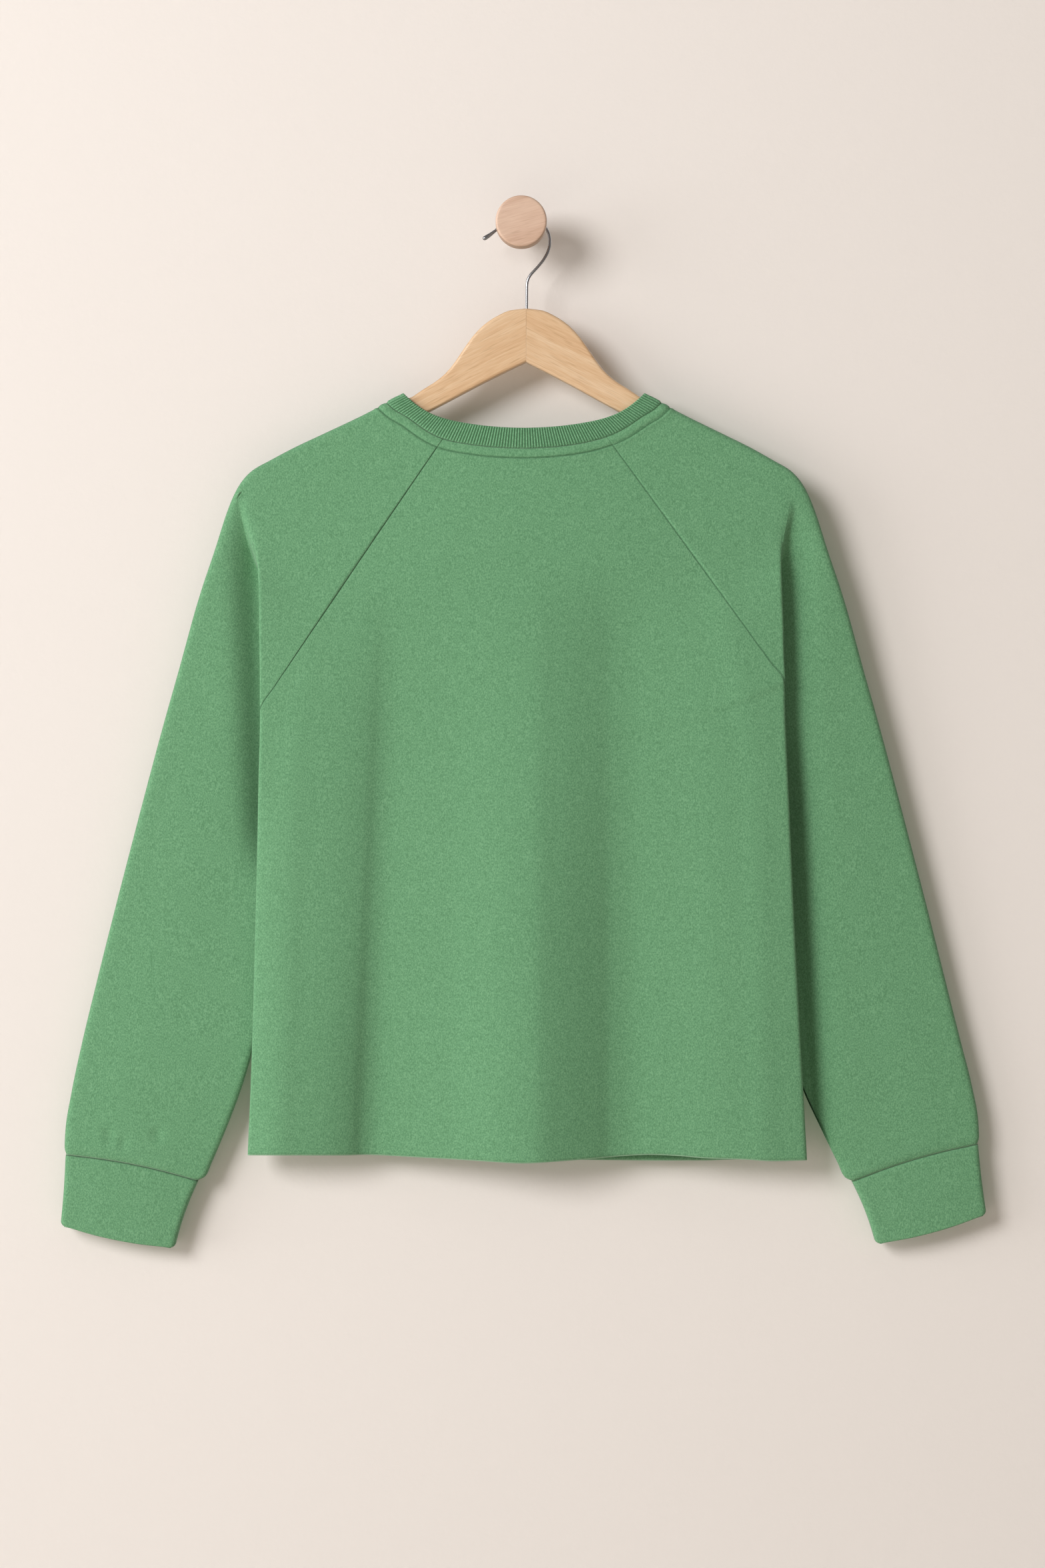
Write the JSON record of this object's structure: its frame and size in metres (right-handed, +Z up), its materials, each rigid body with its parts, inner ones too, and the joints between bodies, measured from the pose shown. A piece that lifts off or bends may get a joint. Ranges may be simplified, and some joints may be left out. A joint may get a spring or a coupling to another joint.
{
  "type": "raglan sweatshirt on a wooden hanger and wall peg",
  "caption": "Boxy raglan sweatshirt with a ribbed neckband, plain cuffs and a raw hem, hung flat on a wooden hanger whose wire hook rests on a round wall peg.",
  "frame": {"origin": "centre of the wall peg's flat back face, which lies on the wall", "axes": "+Z up, +Y into the wall, +X to the right as seen by someone facing the wall; the garment's own back faces -Y"},
  "size_m": [0.8043, 0.06, 0.9067],
  "materials": {
    "knit": "heathered green knit, matt",
    "rib": "fine ribbed green knit, matt",
    "hanger_wood": "pale lacquered wood",
    "peg_wood": "pale oiled wood",
    "wire": "bright polished wire"
  },
  "bodies": {
    "root": {"back": "knit", "front": "knit", "sleeve_left": "knit", "sleeve_right": "knit", "cuff_left": "knit", "cuff_right": "knit", "neck_rib": "rib", "hanger_left": "hanger_wood", "hanger_right": "hanger_wood", "hook": "wire", "peg": "peg_wood"}
  },
  "joints": []
}
